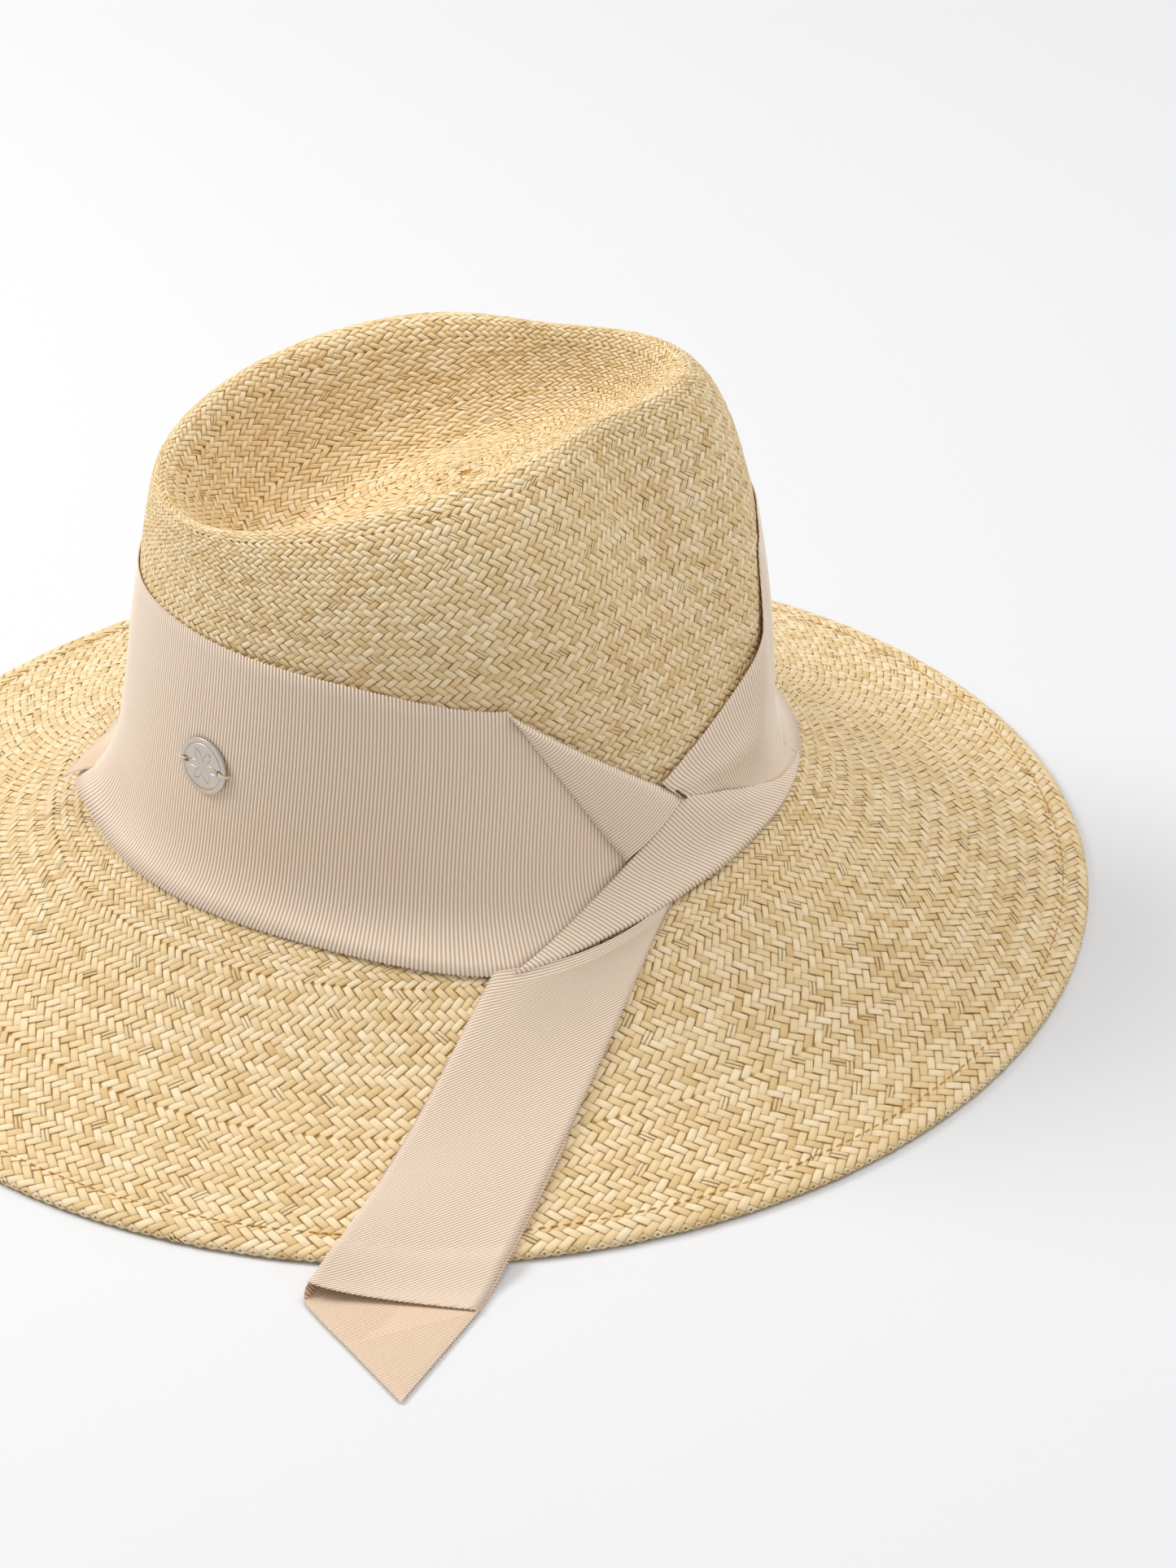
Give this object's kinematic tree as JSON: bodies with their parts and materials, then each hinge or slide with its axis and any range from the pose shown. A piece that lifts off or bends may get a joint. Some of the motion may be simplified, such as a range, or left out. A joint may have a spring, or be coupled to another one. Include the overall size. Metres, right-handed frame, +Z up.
{
  "type": "panama hat",
  "caption": "Wide-brimmed woven straw hat with a teardrop crown, a ribbed ribbon gathered into a side knot, a loose folded ribbon tail and a sewn metal disc.",
  "frame": {"origin": "centre of the head opening, dropped onto the plane that the brim's edge rests on", "axes": "+Z up through the crown, -Y to the front of the hat, -X to the wearer's right, where the knot is"},
  "size_m": [0.4163, 0.4022, 0.1799],
  "materials": {
    "straw": "woven palm straw, satin",
    "straw_thread": "matt thread",
    "sweatband_leather": "smooth, satin",
    "cream_thread": "matt thread",
    "bow_ribbon": "ribbed, matt",
    "label_cloth": "woven, matt",
    "ribbon": "ribbed, soft sheen",
    "satin_metal": "satin"
  },
  "bodies": {
    "hat": {"straw_body": "straw", "hem_thread": "straw_thread", "sweatband": "sweatband_leather", "sweatband_thread": "cream_thread", "sweatband_bow": "bow_ribbon", "size_label": "label_cloth", "band_ribbon": "ribbon", "front_gather": "ribbon", "knot_upper_fold": "ribbon", "knot_lower_fold": "ribbon", "knot_stitch": "straw_thread", "medallion": "satin_metal", "medallion_threads": "cream_thread"},
    "tail": {"ribbon_tail": "ribbon"}
  },
  "joints": [
    {"name": "tail_lift", "type": "hinge", "parent": "hat", "child": "tail", "pos_m": [-0.0981, -0.0152, 0.0424], "axis": [-0.2626, 0.9604, -0.0934], "range_deg": [0, 60]}
  ]
}
